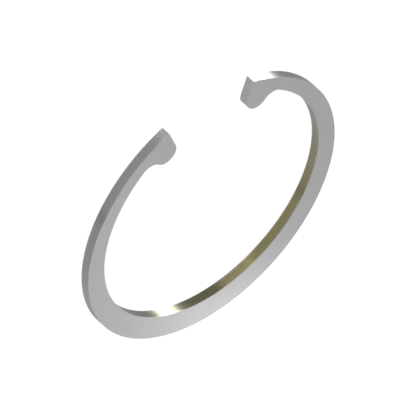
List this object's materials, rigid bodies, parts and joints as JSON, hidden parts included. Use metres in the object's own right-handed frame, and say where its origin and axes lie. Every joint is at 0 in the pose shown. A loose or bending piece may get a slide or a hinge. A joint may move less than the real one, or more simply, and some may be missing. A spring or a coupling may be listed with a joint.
{
  "type": "internal retaining ring",
  "caption": "Flat spring-steel retaining ring with a tapered section and an open gap between solid, rounded inward lugs.",
  "frame": {"origin": "centre of the round rim, on the face that the ring lies on", "axes": "+Z along the rim's axis, out of the upper face; +Y towards the middle of the gap between the lugs"},
  "size_m": [0.0506, 0.0489, 0.0018],
  "materials": {
    "spring_steel": "satin, tumbled"
  },
  "bodies": {
    "root": {"ring": "spring_steel"}
  },
  "joints": []
}
